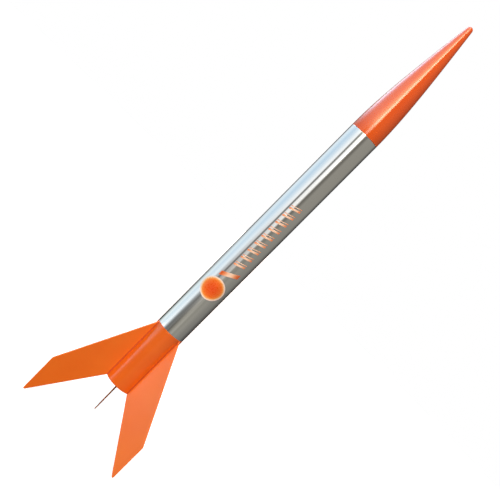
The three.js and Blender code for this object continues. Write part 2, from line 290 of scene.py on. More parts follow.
def growOn(piece, addition):
    return cutAway(piece, addition, "UNION")


def joinAll(pieces, name):
    deselect()
    for piece in pieces:
        piece.select_set(True)
    bpy.context.view_layer.objects.active = pieces[0]
    bpy.ops.object.join()
    pieces[0].name = pieces[0].data.name = name
    return pieces[0]


def curveOf(name, points, kind):
    data = bpy.data.curves.new(name, "CURVE")
    data.dimensions = "2D" if kind == "strip" else "3D"
    spline = data.splines.new("POLY" if kind == "strip" else "BEZIER")
    if kind == "strip":
        spline.points.add(len(points) - 1)
        for spot, point in zip(spline.points, points):
            spot.co = (point[0], point[1], 0, 1)
    else:
        spline.bezier_points.add(len(points) - 1)
        for spot, point in zip(spline.bezier_points, points):
            spot.co = point
            spot.handle_left_type = spot.handle_right_type = "AUTO"
    piece = bpy.data.objects.new(name, data)
    bpy.context.scene.collection.objects.link(piece)
    return piece


def strip(name, points, width, thickness, upright=True, depth=0):
    # a flat strip bent along (x, height) points, its width across them; lying down it is bent along (x, y)
    piece = curveOf(name, points, "strip")
    piece.data.extrude = width / 2
    pick(piece)
    bpy.ops.object.convert(target="MESH")
    piece = bpy.context.object
    if upright:
        piece.rotation_euler = (math.pi / 2, 0, 0)
    piece.location = (0, depth, 0) if upright else (0, 0, depth)
    settle(piece)
    if thickness:
        applyModifier(piece, "SOLIDIFY", thickness=thickness, offset=0)
        ease(piece, thickness * 0.22)
        settle(piece)
    return piece


def inMm(*points):
    return [tuple(value * mm for value in point) for point in points]


def wire(name, points, radius, turns=6, sides=3):
    # a round wire or line through the points
    piece = curveOf(name, points, "wire")
    piece.data.bevel_depth = radius
    piece.data.bevel_resolution = sides
    piece.data.resolution_u = turns
    piece.data.use_fill_caps = True
    pick(piece)
    bpy.ops.object.convert(target="MESH")
    return settle(bpy.context.object, 60)


def ringOf(name, centre, majorR, minorR, turn):
    ring = add(bpy.ops.mesh.primitive_torus_add, name, location=centre, rotation=turn, major_radius=majorR,
               minor_radius=minorR, major_segments=40, minor_segments=12)
    return settle(ring, 60)


# camera, lights, floor and surroundings

cameraSet = {
    "spot": (0.0184, -0.9011, 0.3325),
    "heading": 1.2,  # degrees about the vertical
    "lookDown": 4.58,
    "roll": 44.86,
    "lens": 62.86,
}


def makeCamera():
    data = bpy.data.cameras.new("studioCamera")
    data.lens = cameraSet["lens"]
    data.sensor_width = 36
    data.clip_start = 0.01
    camera = bpy.data.objects.new("studioCamera", data)
    bpy.context.scene.collection.objects.link(camera)
    turn = Matrix.Rotation(math.radians(cameraSet["heading"]), 4, "Z")
    turn = turn @ Matrix.Rotation(math.radians(90 - cameraSet["lookDown"]), 4, "X")
    turn = turn @ Matrix.Rotation(math.radians(cameraSet["roll"]), 4, "Z")
    camera.matrix_world = Matrix.Translation(cameraSet["spot"]) @ turn
    bpy.context.scene.camera = camera


# The studio round the rocket, as a mirror on the tube would show it: degrees round the axis from the
# camera's side, positive towards +X, and the colour of the panel there.
studioSet = {
    "upper": [
        (-180, "#3c3e3c"), (-146, "#6a6f72"), (-134, "#dfeaf0"), (-115, "#dceef8"), (-84, "#c0d8ea"),
        (-62, "#d6e6f1"), (-45, "#f2f8fb"), (-34, "#f8fafa"), (-28, "#8a8b8a"), (-21, "#6b6b69"),
        (-15, "#f6f6f4"), (3, "#fdfcf8"), (9, "#b8b5ae"), (14, "#6e6b64"), (21, "#6b6861"),
        (38, "#8e8b82"), (105, "#8b887f"), (120, "#82807a"), (132, "#66645f"), (146, "#454442"),
    ],
    "lower": [
        (-180, "#3a3c3a"), (-132, "#646a66"), (-118, "#c8d4d4"), (-103, "#ebf8fa"), (-83, "#d9eaf3"),
        (-58, "#f1fafd"), (-50, "#ccd4d8"), (-42, "#8c9090"), (-34, "#6a6c6b"), (-21, "#757571"),
        (-10, "#62605a"), (-2, "#807d73"), (8, "#98958b"), (18, "#a2a096"), (30, "#8c8a80"),
        (48, "#918f86"), (75, "#817f78"), (100, "#787771"), (125, "#585654"), (146, "#424240"),
    ],
    "panelStrength": 1.1,
    "heights": (-0.19, 0.0),  # where the lower set gives way to the upper one, as the ray's rise
    "stripBoost": 2.2,  # the narrow strip light in front, against the panels
    "stripReach": (-7, 3),
    "stripHeights": (0.03, 0.12),
    "high": [  # the panels' upper ends, which only the nose shows
        (-180, "#1c1c1c"), (-150, "#303030"), (-138, "#90a0a8"), (-122, "#94aac0"), (-106, "#788c9c"),
        (-84, "#6a7274"), (-50, "#6c7472"), (-36, "#7c8478"), (-22, "#9c9c84"), (-11, "#c4bc9c"),
        (-3, "#fff8dc"), (3, "#fff4d0"), (10, "#70604c"), (16, "#302c28"), (60, "#383430"), (100, "#2c2a28"),
        (125, "#181818"), (150, "#141414"),
    ],
    "canReach": (-80, -60),  # a brighter patch that only the can and the fins' roots show
    "canHeights": (-0.235, -0.215),
    "canBoost": 1.6,
    "deepHeights": (-0.325, -0.275),  # the panels die away below this, to a horizon and then the paper floor
    "deepShare": 0.3,
    "floorHeights": (-0.43, -0.36),
    "floorColour": "#b4b3b0",
    "floorShare": 0.55,  # how much of the lower set the floor passes on
    "highHeights": (0.115, 0.2),
    "highStrength": 14.0,
    "fill": "#6f6d6b",  # what the matt surfaces get from all round
    "fillStrength": 0.5,
}


def crossing(value, span, start=0.0, end=1.0):
    # map range inputs that take the value from start to end while it crosses the span
    return {"Value": value, "From Min": span[0], "From Max": span[1], "To Min": start, "To Max": end}


def sector(tree, angle, reach, soft):
    # 1 between the two bearings, fading to 0 over soft degrees on both sides
    left, right, fade = (math.radians(a) for a in (*reach, soft))
    into = addNode(tree, "MapRange", crossing(angle, (left - fade, left)))
    outOf = addNode(tree, "MapRange", crossing(angle, (right, right + fade), 1.0, 0.0))
    return addNode(tree, "Math", {0: into, 1: outOf}, operation="MULTIPLY")


def makeWorld():
    world = bpy.data.worlds.new("studio")
    bpy.context.scene.world = world
    world.use_nodes = True
    tree = world.node_tree
    tree.nodes.clear()
    ray = addNode(tree, "TexCoord").outputs["Generated"]
    split = addNode(tree, "SeparateXYZ", {"Vector": ray})
    rise = split.outputs["Z"]
    toCamera = addNode(tree, "Math", {0: split.outputs["Y"], 1: -1.0}, operation="MULTIPLY")
    angle = addNode(tree, "Math", {0: split.outputs["X"], 1: toCamera}, operation="ARCTAN2")
    around = addNode(tree, "MapRange", crossing(angle, (-math.pi, math.pi)))
    upper, lower, high = (
        addNode(tree, "ValToRGB", {"Fac": around},
                [((bearing + 180) / 360, colour) for bearing, colour in studioSet[key]])
        for key in ("upper", "lower", "high"))
    share = {key: addNode(tree, "MapRange", crossing(rise, studioSet[key]))
             for key in ("heights", "stripHeights", "floorHeights", "highHeights")}
    below = addNode(tree, "MapRange", crossing(rise, studioSet["canHeights"], 1.0, 0.0))
    fade = addNode(tree, "MapRange", crossing(rise, studioSet["deepHeights"], studioSet["deepShare"]))
    panels = addNode(tree, "Mix", {0: share["heights"], 6: lower, 7: upper}, data_type="RGBA")
    floor = addNode(tree, "Mix", {0: studioSet["floorShare"], 6: linear(studioSet["floorColour"]), 7: lower},
                    data_type="RGBA")
    strength = studioSet["panelStrength"]
    for part, edge, soft in (("strip", share["stripHeights"], 3), ("can", below, 8)):
        reach = sector(tree, angle, studioSet[part + "Reach"], soft)
        patch = addNode(tree, "Math", {0: reach, 1: edge}, operation="MULTIPLY")
        strength = addNode(tree, "Math", {0: patch, 1: studioSet[part + "Boost"], 2: strength},
                           operation="MULTIPLY_ADD")
    strength = addNode(tree, "Math", {0: strength, 1: fade}, operation="MULTIPLY")
    panelGlow, floorGlow, highGlow, matt, white = (
        addNode(tree, "Background", {"Color": colour, "Strength": glow}) for colour, glow in (
            (panels, strength), (floor, 1.0), (high, studioSet["highStrength"]),
            (linear(studioSet["fill"]), studioSet["fillStrength"]), ((1, 1, 1, 1), 1.0)))
    path = addNode(tree, "LightPath").outputs
    seen = floorGlow
    for part, glow in ((share["floorHeights"], panelGlow), (share["highHeights"], highGlow)):
        seen = addNode(tree, "MixShader", {0: part, 1: seen, 2: glow})
    seen = addNode(tree, "MixShader", {0: path["Is Glossy Ray"], 1: matt, 2: seen})
    seen = addNode(tree, "MixShader", {0: path["Is Camera Ray"], 1: seen, 2: white})
    addNode(tree, "OutputWorld", {"Surface": seen})


lampSet = {
    "key": {"turn": -50, "rise": 36, "energy": 0.7, "spread": 30, "colour": "#fff8ec"},
    "front": {"turn": 3, "rise": 38, "energy": 3.3, "spread": 25, "colour": "#ffd8ce"},
    "edge": {"turn": -115, "rise": 15, "energy": 0.5, "spread": 30, "colour": "#f4f9ff"},
    "side": {"turn": 152, "rise": 24, "energy": 1.2, "spread": 40, "colour": "#ffffff"},
    "back": {"turn": -168, "rise": 30, "energy": 1.2, "spread": 50, "colour": "#ffffff"},
}


def makeLamps():
    for name, lamp in lampSet.items():
        data = bpy.data.lights.new(name + "Lamp", "SUN")
        data.energy = lamp["energy"]
        data.angle = math.radians(lamp["spread"])
        data.color = linear(lamp["colour"])[:3]
        light = bpy.data.objects.new(name + "Lamp", data)
        bpy.context.scene.collection.objects.link(light)
        turn = math.radians(lamp["turn"])
        rise = math.radians(lamp["rise"])
        towards = Vector((math.sin(turn) * math.cos(rise), -math.cos(turn) * math.cos(rise), math.sin(rise)))
        light.rotation_euler = towards.to_track_quat("Z", "Y").to_euler()
        light.location = towards * 2
        light.visible_glossy = False  # the panels do the reflections


floorSet = {"radius": 4.0, "colour": "#f4f4f2", "glow": 0.5}


def makeFloor():
    floor = add(bpy.ops.mesh.primitive_circle_add, "studioFloor", vertices=96, radius=floorSet["radius"],
                fill_type="NGON", location=(0, 0, cadBounds[0][2] - 0.2 * mm))
    editAll(floor)
    bpy.ops.mesh.inset(thickness=floorSet["radius"] * 0.7)
    leaveEdit()
    material, tree, spot = startMaterial("paleSeamlessPaper")  # matt paper sweep, faint tooth
    tooth = addNode(tree, "TexNoise", {"Vector": spot, "Scale": 400.0})
    lift = addNode(tree, "Bump", {"Height": tooth, "Strength": 0.05, "Distance": 0.05 * mm})
    coat(floor, finishMaterial(material, {
        "Base Color": linear(floorSet["colour"]), "Roughness": 0.9, "Normal": lift,
        "Emission Color": (1, 1, 1, 1), "Emission Strength": floorSet["glow"],
    }))
    floor.visible_glossy = False
    floor.visible_diffuse = False  # the lamps alone light the rocket


makeCamera()
makeWorld()
makeLamps()
makeFloor()
bpy.context.scene.view_settings.view_transform = "Standard"
print("camera, studio, lamps and floor made")


# finishes of the outside

def mouldedPlastic(name, colour, warmer, roughness):
    # Injection-moulded styrene: glossy, with a faint orange-peel ripple and slightly uneven colour
    material, tree, spot = startMaterial(name)
    cloud = addNode(tree, "TexNoise", {"Vector": spot, "Scale": 28.0, "Detail": 3.0})
    tint = addNode(tree, "ValToRGB", {"Fac": cloud}, [(0.35, colour), (0.68, warmer)])
    peel = addNode(tree, "TexNoise", {"Vector": spot, "Scale": 320.0, "Detail": 2.0})  # 3 mm ripple
    rub = addNode(tree, "TexNoise", {"Vector": spot, "Scale": 90.0, "Detail": 2.0})
    dull = addNode(tree, "MapRange", {"Value": rub, "To Min": roughness - 0.03, "To Max": roughness + 0.04})
    bump = addNode(tree, "Bump", {"Height": peel, "Strength": 0.02, "Distance": 0.004 * mm})
    return finishMaterial(material, {
        "Base Color": tint, "Roughness": dull, "IOR": 1.59, "Specular IOR Level": 0.5, "Normal": bump,
    })


nosePlastic = mouldedPlastic("mouldedStyreneNose", "#e66010", "#e86614", 0.11)
canPlastic = mouldedPlastic("mouldedStyreneCan", "#e46e1a", "#e7741e", 0.16)
finPlastic = mouldedPlastic("mouldedStyreneFins", "#ef7a1a", "#f1801e", 0.2)


def mirrorFilm():
    # Metallised polyester film laid on spiral-wound card: a mirror with faint draw lines along its
    # length and the winding's seam showing through as a shallow helix
    material, tree, spot = startMaterial("metallisedFilmOnCard")
    long = addNode(tree, "Mapping", {"Vector": spot, "Scale": (1.0, 1.0, 0.03)})
    draw = addNode(tree, "TexNoise", {"Vector": long, "Scale": 900.0, "Detail": 2.0})
    wave = addNode(tree, "TexNoise", {"Vector": long, "Scale": 160.0, "Detail": 1.0})
    seam = helixSeam(tree, spot, 62 * mm, 0.012)
    drawn = addNode(tree, "Math", {0: draw, 1: 0.1, 2: wave}, operation="MULTIPLY_ADD")
    height = addNode(tree, "Math", {0: seam, 1: 0.25, 2: drawn}, operation="MULTIPLY_ADD")
    bump = addNode(tree, "Bump", {"Height": height, "Strength": 0.1, "Distance": 0.02 * mm})
    dull = addNode(tree, "MapRange", {"Value": draw, "To Min": 0.05, "To Max": 0.11})
    return finishMaterial(material, {
        "Base Color": linear("#f1f1f1"), "Metallic": 1.0, "Roughness": dull, "Normal": bump,
    })


filmOnCard = mirrorFilm()


# body tube

tubeSet = {"wall": 0.55 * mm, "edge": 0.12 * mm, "rings": 48}


def makeBodyTube():
    length = noseRear - canFront
    rings = [(tubeR, canFront + length * step / tubeSet["rings"]) for step in range(tubeSet["rings"] + 1)]
    tube = raised("bodyTube", rings, sides=192)
    settle(tube)
    applyModifier(tube, "SOLIDIFY", thickness=tubeSet["wall"], offset=-1)
    ease(tube, tubeSet["edge"])
    settle(tube)
    place(tube, "airframe", ["body_tube"], filmOnCard)


# nose cone

noseSet = {
    "taper": 0.13, "tipRadius": 3.5 * mm, "wall": 1.4 * mm, "gap": 0.1 * mm, "lipEdge": 0.25 * mm,
    "baseHandle": 34 * mm, "tipHandle": 78 * mm, "flankRings": 40, "tipRings": 10,
    "shoulderR": 16.3 * mm, "shoulderLength": 25 * mm, "shoulderEdge": 0.8 * mm,
}


def bezier(points, t):
    a, b, c, d = (Vector(p) for p in points)
    return a * (1 - t) ** 3 + b * 3 * t * (1 - t) ** 2 + c * 3 * t ** 2 * (1 - t) + d * t ** 3


def noseOutline():
    slope = math.atan(noseSet["taper"])
    tipR = noseSet["tipRadius"]
    tipStart = Vector((tipR * math.cos(slope), noseTip - tipR + tipR * math.sin(slope)))
    handle = noseSet["tipHandle"]
    curve = [
        (tubeR, noseRear + noseSet["gap"]), (tubeR, noseRear + noseSet["baseHandle"]),
        (tipStart.x + noseSet["taper"] * handle, tipStart.y - handle), tipStart,
    ]
    flank = [tuple(bezier(curve, i / noseSet["flankRings"])) for i in range(noseSet["flankRings"] + 1)]
    tip = []
    for i in range(1, noseSet["tipRings"] + 1):
        angle = slope + (math.pi / 2 - slope) * i / noseSet["tipRings"]
        tip.append((tipR * math.cos(angle), noseTip - tipR + tipR * math.sin(angle)))
    tip[-1] = (0, noseTip)
    return flank + tip


def makeNoseCone():
    shoulderR = noseSet["shoulderR"]
    shoulderRear = noseRear - noseSet["shoulderLength"]
    chamfer, lipEdge = noseSet["shoulderEdge"], noseSet["lipEdge"]
    lip = noseRear + noseSet["gap"]  # a hair's breadth off the tube's rim
    stations = [
        (shoulderR - chamfer, shoulderRear), (shoulderR, shoulderRear + chamfer),
        (shoulderR, noseRear - 8 * mm), (shoulderR, lip), (tubeR - lipEdge, lip),
    ]
    outline = noseOutline()
    outline[0] = (tubeR, lip + lipEdge)
    cone = raised("noseCone", stations + outline, sides=160)
    settle(cone)
    applyModifier(cone, "SOLIDIFY", thickness=noseSet["wall"], offset=-1)
    settle(cone)
    place(cone, "nose", ["nose_cone"], nosePlastic)


# tail can and fins

canSet = {
    "wall": 1.5 * mm, "shoulderR": 16.3 * mm, "shoulderLength": 20 * mm, "shoulderWall": 1.4 * mm,
    "edge": 0.35 * mm, "step": 0.05 * mm,
    "slotHalf": 0.95 * mm, "slotRear": 77.7 * mm, "slotFront": 126.3 * mm,
}
finSet = {
    "thickness": 1.3 * mm, "rootR": 17.4 * mm, "tipR": 74.9 * mm, "tipFront": 44.6 * mm, "foot": 2 * mm,
    "edge": 0.42 * mm, "tabInner": 11 * mm, "tabRear": 78 * mm, "tabFront": 126 * mm,
}


def makeFinCan():
    rim = canSet["edge"]
    inner = tubeR - canSet["wall"]
    shoulderR = canSet["shoulderR"]
    bore = shoulderR - canSet["shoulderWall"]
    shoulderFront = canFront + canSet["shoulderLength"]
    ledge = canFront - canSet["step"]
    stations = [
        (inner, canRear + rim), (inner + rim, canRear), (tubeR - rim, canRear), (tubeR, canRear + rim),
        (tubeR, ledge - 0.2 * mm), (tubeR - 0.2 * mm, ledge), (shoulderR, ledge),
        (shoulderR, shoulderFront - rim), (shoulderR - rim, shoulderFront), (bore, shoulderFront),
        (bore, canFront + 1 * mm), (inner, canFront - 0.5 * mm), (inner, canRear + rim),
    ]
    can = raised("tailCan", stations, sides=160)
    settle(can)
    half = canSet["slotHalf"]
    for azimuth in finAzimuths.values():
        cutter = blockOf("slotCutter", (finSet["tabInner"] + mm, -half, canSet["slotRear"]),
                         (tubeR + 3 * mm, half, canSet["slotFront"]))
        turnAbout(cutter, azimuth)
        cutAway(can, cutter)
    place(can, "airframe", ["fin_can"], canPlastic)


def makeFin(node, azimuth):
    rootR, tipR = finSet["rootR"], finSet["tipR"]
    span = tipR - rootR
    half = finSet["thickness"] / 2
    fin = blockOf(node.replace("_", ""), (rootR, -half, canRear), (tipR, half, canFront))
    drop = canRear / (span - finSet["foot"])  # fall of the rear edge for each unit of span
    middle = (canRear + canFront) / 2
    choose(fin, "VERT", lambda vertex: vertex.co.x > tipR - mm and vertex.co.z > middle)
    bpy.ops.transform.translate(value=(0, 0, finSet["tipFront"] - canFront))
    leaveEdit()
    choose(fin, "VERT", lambda vertex: vertex.co.x > tipR - mm and abs(vertex.co.z - canRear) < mm)
    bpy.ops.transform.translate(value=(0, 0, -drop * span))
    bpy.ops.mesh.select_all(action="SELECT")
    bpy.ops.mesh.bisect(plane_co=(0, 0, 0), plane_no=(0, 0, -1), use_fill=True, clear_outer=True)
    leaveEdit()
    settle(fin)
    ease(fin, finSet["edge"], 3, 30)
    half -= 0.05 * mm
    growOn(fin, blockOf("rootTab", (finSet["tabInner"] - 0.5 * mm, -half, finSet["tabRear"]),
                        (rootR + 0.5 * mm, half, finSet["tabFront"])))
    turnAbout(fin, azimuth)
    place(fin, "airframe", [node], finPlastic)


makeBodyTube()
makeNoseCone()
makeFinCan()
for node, azimuth in finAzimuths.items():
    makeFin(node, azimuth)
print("tube, nose, can and fins made")


# printed films on the tube

emblemLow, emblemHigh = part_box("emblem_decal")
barsLow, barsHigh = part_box("stripe_decal")
decalSet = {
    "emblemR": (emblemHigh.z - emblemLow.z) / 2, "emblemAzimuth": 1.3, "lift": 0.05 * mm, "film": 0.1 * mm,
    "bars": 9, "left": -2.2 * mm, "right": 9.4 * mm, "slant": 3.6 * mm, "thick": 2.2 * mm, "thin": 0.8 * mm,
    "step": 1.5 * mm, "firstLeft": -5.7 * mm, "firstRight": 11.8 * mm, "firstThick": 5.0 * mm,
    "firstSlant": 9 * mm, "firstRoom": 19 * mm,
}


def printedFilm(name, stops, across, centre, reach):
    # Screen-printed vinyl film: soft graded inks under a satin clear coat, with a faint halftone tooth
    material, tree, spot = startMaterial(name)
    centred = addNode(tree, "Mapping", {
        "Vector": spot, "Location": [-c / reach for c in centre],
        "Scale": [(1 if axis in across else 0) / reach for axis in "xyz"],
    })
    away = addNode(tree, "VectorMath", {0: centred}, operation="LENGTH")
    grain = addNode(tree, "TexNoise", {"Vector": spot, "Scale": 700.0, "Detail": 2.0})
    stray = addNode(tree, "Math", {0: grain, 1: 0.08, 2: away.outputs["Value"]}, operation="MULTIPLY_ADD")
    ink = addNode(tree, "ValToRGB", {"Fac": stray}, stops)
    tooth = addNode(tree, "Bump", {"Height": grain, "Strength": 0.06, "Distance": 0.02 * mm})
    gloss = addNode(tree, "MapRange", {"Value": grain, "To Min": 0.22, "To Max": 0.34})
    return finishMaterial(material, {"Base Color": ink, "Roughness": gloss, "Normal": tooth})


def layOnTube(piece, tube):
    # pressed straight back onto the tube, then given the film's thickness
    applyModifier(piece, "SHRINKWRAP", target=tube, wrap_method="PROJECT", use_project_y=True,
                  use_negative_direction=False, use_positive_direction=True, offset=decalSet["lift"])
    settle(piece)
    applyModifier(piece, "SOLIDIFY", thickness=decalSet["film"], offset=0)
    return piece


def outsideTube():
    # the tube's outer skin alone, for the films to be pressed on
    return settle(raised("pressForm", [(tubeR, canFront), (tubeR, noseRear)], sides=384))


def makeEmblem(form):
    reach = decalSet["emblemR"]
    rings = [1, 0.97, 0.93, 0.88, 0.8, 0.7, 0.6, 0.5, 0.4, 0.3, 0.2, 0.1, 0]
    disc = raised("emblemDecal", [(reach * share, 0) for share in rings], sides=96)
    disc.rotation_euler = (math.pi / 2, 0, 0)
    height = (emblemLow.z + emblemHigh.z) / 2
    disc.location = (0, -tubeR - 5 * mm, height)
    settle(disc)
    layOnTube(disc, form)
    settle(disc)
    turnAbout(disc, decalSet["emblemAzimuth"])
    centre = Vector((tubeR * math.sin(math.radians(decalSet["emblemAzimuth"])), 0, height))
    inks = printedFilm("screenPrintedVinylDisc", [
        (0.0, "#e4541a"), (0.45, "#ec6620"), (0.72, "#f27e2c"), (0.84, "#f8a048"), (0.9, "#fccb7c"),
        (0.95, "#fff2cc"), (1.0, "#fffaf0"),
    ], "xz", centre, reach)
    place(disc, "airframe", ["emblem_decal"], inks)


def slantedBar(low, left, right, thick, slant):
    # one plain bar across the tube, its right end carried forward by the slant
    bar = add(bpy.ops.mesh.primitive_grid_add, "slantedBar", x_subdivisions=18, y_subdivisions=3, size=1)
    bar.scale = (right - left, thick, 1)
    bar.rotation_euler = (math.pi / 2, 0, 0)
    bar.location = ((left + right) / 2, -tubeR - 5 * mm, low + thick / 2)
    bpy.ops.object.transform_apply(location=True, rotation=True, scale=True)
    for vertex in bar.data.vertices:
        vertex.co.z += slant * (vertex.co.x - left) / (right - left)
    return bar


def makeBars(form):
    # a broad bar, then pairs of a thick and a thin one
    left, right, slant = decalSet["left"], decalSet["right"], decalSet["slant"]
    bars = [slantedBar(barsLow.z + 1 * mm, decalSet["firstLeft"], decalSet["firstRight"],
                       decalSet["firstThick"], decalSet["firstSlant"])]
    start = barsLow.z + decalSet["firstRoom"]
    pitch = (barsHigh.z - 1 * mm - slant - start) / decalSet["bars"]
    thick, step, thin = (decalSet[key] for key in ("thick", "step", "thin"))
    for number in range(decalSet["bars"]):
        low = start + number * pitch
        bars.append(slantedBar(low, left, right, thick, slant))
        bars.append(slantedBar(low + thick + step, left, right, thin, slant))
    piece = joinAll(bars, "stripeBars")
    layOnTube(piece, form)
    settle(piece)
    middle = Vector(((left + right) / 2, 0, 0))
    inks = printedFilm("screenPrintedVinylBars", [
        (0.0, "#fff4e0"), (0.35, "#fcdcb4"), (0.7, "#ee9a64"), (1.0, "#dc6c34"),
    ], "x", middle, 8 * mm)
    place(piece, "airframe", ["stripe_decal"], inks)


pressForm = outsideTube()
makeEmblem(pressForm)
makeBars(pressForm)
bpy.data.objects.remove(pressForm)
print("printed films laid on the tube")


# launch lug, its cement and the fillets at the fin roots

lugSet = {
    "azimuth": 30, "innerR": 2.0 * mm, "outerR": 2.4 * mm, "rear": 72 * mm, "front": 124 * mm,
    "standOff": 19.8 * mm, "edge": 0.1 * mm, "beadWidth": 1.7 * mm, "filletR": 1.1 * mm,
}


# extruded polypropylene: waxy and slightly see-through white, faint draw lines along it
extrudedStraw = grained("extrudedWhiteStraw", ("#efece4", "#e2ded2"), (1800.0, 2.0), (0.15, 0.02 * mm),
                        (0.28, 0.42), stretch=0.04, IOR=1.49, Subsurface_Weight=0.15,
                        Subsurface_Scale=0.8 * mm)
# tube cement dried in place: clear amber skin, glossy, with small sags
cement = grained("driedPlasticCement", ("#b8481a", "#d8682c"), (450.0, 3.0), (0.4, 0.06 * mm), (0.12, 0.3),
                 IOR=1.5)


def makeLug():
    lug = tubeOf("launchLug", lugSet["innerR"], lugSet["outerR"], lugSet["rear"], lugSet["front"],
                 lugSet["edge"], sides=64, centre=(lugSet["standOff"], 0))
    turnAbout(lug, lugSet["azimuth"])
    place(lug, "airframe", ["launch_lug"], extrudedStraw)


def makeLugBead():
    # a bead with rounded sides that fills the nip between straw and can
    half = lugSet["beadWidth"] / 2
    bead = blockOf("lugCement", (tubeR - 0.2 * mm, -half, lugSet["rear"] + 1 * mm),
                   (tubeR + 0.85 * mm, half, lugSet["front"] - 1.5 * mm))
    editAll(bead)
    bpy.ops.mesh.subdivide(number_cuts=3)
    leaveEdit()
    for side in (-1, 1):
        cutter = add(bpy.ops.mesh.primitive_cylinder_add, "beadCutter", vertices=48, radius=1.0 * mm,
                     depth=80 * mm, location=(tubeR + 0.75 * mm, side * (half + 0.55 * mm), 98 * mm))
        cutAway(bead, cutter)
    turnAbout(bead, lugSet["azimuth"])
    place(bead, "airframe", [], cement)


def makeFillet(name, azimuth, side):
    # cement drawn along one side of a fin's root with a fingertip: concave, thin at both ends
    reach = lugSet["filletR"]
    face = finSet["thickness"] / 2
    low = (tubeR - 0.15 * mm, face - 0.2 * mm, canRear + 1.2 * mm)
    high = (tubeR + reach, face + reach, canFront - 1.6 * mm)
    fillet = blockOf(name, low, high)
    fingertip = add(bpy.ops.mesh.primitive_cylinder_add, "fingertip", vertices=64, radius=reach,
                    depth=120 * mm, location=(tubeR + reach, face + reach, 100 * mm))
    cutAway(fillet, fingertip)
    if side < 0:
        for vertex in fillet.data.vertices:
            vertex.co.y = -vertex.co.y
        settle(fillet)
    turnAbout(fillet, azimuth)
    place(fillet, "airframe", [], cement)


makeLug()
makeLugBead()
for fin, azimuth in finAzimuths.items():
    for side, word in ((-1, "Right"), (1, "Left")):
        makeFillet(fin.replace("_", "") + "Fillet" + word, azimuth, side)
print("lug, cement and fillets made")


# motor mount

mountSet = {
    "innerR": 9.1 * mm, "outerR": 9.4 * mm, "rear": 71 * mm, "front": 144 * mm, "azimuth": 150,
    "ringInnerR": 9.7 * mm, "ringOuterR": 15.3 * mm, "ringDepth": 3 * mm,
    "ringHeights": (72.5 * mm, 138.2 * mm), "notchR": 13.5 * mm, "slotHalf": 2.1 * mm,
    "clawSlot": (135.6 * mm, 136.9 * mm),
    "thrustInnerR": 6.4 * mm, "thrustOuterR": 8.8 * mm, "thrust": (137.0 * mm, 142.0 * mm),
    "bandOuterR": 11.6 * mm, "band": (128 * mm, 133 * mm), "channelR": 10.85 * mm,
}


def woundCard(name, light, dark, pitch):
    # Spiral-wound or die-cut kraft board: matt, fibrous and mottled, the winding's seam a shallow helix
    material, tree, spot = startMaterial(name)
    fibre = addNode(tree, "TexNoise", {"Vector": spot, "Scale": 1400.0, "Detail": 4.0})
    mottle = addNode(tree, "TexNoise", {"Vector": spot, "Scale": 180.0, "Detail": 5.0})
    blend = addNode(tree, "Math", {0: fibre, 1: mottle}, operation="MULTIPLY")
    colour = addNode(tree, "ValToRGB", {"Fac": blend}, [(0.12, dark), (0.42, light)])
    height = fibre
    if pitch:
        seam = helixSeam(tree, spot, pitch, 0.03)
        height = addNode(tree, "Math", {0: seam, 1: 1.6, 2: fibre}, operation="MULTIPLY_ADD")
    nap = addNode(tree, "Bump", {"Height": height, "Strength": 0.35, "Distance": 0.06 * mm})
    return finishMaterial(material, {
        "Base Color": colour, "Roughness": 0.86, "Specular IOR Level": 0.3, "Normal": nap,
    })


kraftTube = woundCard("spiralWoundKraftTube", "#c09a6c", "#94703f", 22 * mm)
dieCutCard = woundCard("dieCutGreyBoard", "#c8b08c", "#a88a60", 0)


def makeMount():
    slot, azimuth, depth = (mountSet[key] for key in ("slotHalf", "azimuth", "ringDepth"))
    ringInner, ringOuter = mountSet["ringInnerR"], mountSet["ringOuterR"]
    low, high = mountSet["clawSlot"]
    rear, front = mountSet["ringHeights"]
    tube = tubeOf("motorTube", mountSet["innerR"], mountSet["outerR"], mountSet["rear"], mountSet["front"],
                  0.06 * mm)
    cutAway(tube, blockOf("slotCutter", (7 * mm, -slot, low), (11 * mm, slot, high)))
    turnAbout(tube, azimuth)
    place(tube, "airframe", ["motor_tube"], kraftTube)
    rearRing = tubeOf("rearRing", ringInner, ringOuter, rear, rear + depth, 0.2 * mm)
    cutAway(rearRing, blockOf("notchCutter", (9 * mm, -slot, rear - mm),
                              (mountSet["notchR"], slot, rear + 4 * mm)))
    turnAbout(rearRing, azimuth)
    place(rearRing, "airframe", ["rear_centering_ring"], dieCutCard)
    frontRing = tubeOf("frontRing", ringInner, ringOuter, front, front + depth, 0.2 * mm)
    place(frontRing, "airframe", ["front_centering_ring"], dieCutCard)
    thrust = tubeOf("thrustRing", mountSet["thrustInnerR"], mountSet["thrustOuterR"], *mountSet["thrust"],
                    0.25 * mm)
    place(thrust, "airframe", ["thrust_ring"], kraftTube)


def wrappedTape():
    # Cloth tape wound round the mount: dark, low sheen, crossed threads pressing through
    material, tree, spot = startMaterial("wrappedClothTape")
    split = addNode(tree, "SeparateXYZ", {"Vector": spot})
    turn = addNode(tree, "Math", {0: split.outputs["Y"], 1: split.outputs["X"]}, operation="ARCTAN2")
    thread = 0.6 * mm  # and 120 threads round the band are as far apart
    warp = addNode(tree, "Math", {0: turn, 1: 120.0}, operation="MULTIPLY")
    weft = addNode(tree, "Math", {0: split.outputs["Z"], 1: 2 * math.pi / thread}, operation="MULTIPLY")
    over = addNode(tree, "Math", {0: warp}, operation="SINE")
    under = addNode(tree, "Math", {0: weft}, operation="SINE")
    cloth = addNode(tree, "Math", {0: over, 1: under}, operation="MULTIPLY")
    tint = addNode(tree, "MapRange", {"Value": cloth, "From Min": -1.0})
    colour = addNode(tree, "ValToRGB", {"Fac": tint}, [(0, "#1d2024"), (1, "#3a3f46")])
    nap = addNode(tree, "Bump", {"Height": cloth, "Strength": 0.4, "Distance": 0.05 * mm})
    return finishMaterial(material, {"Base Color": colour, "Roughness": 0.62, "Normal": nap})


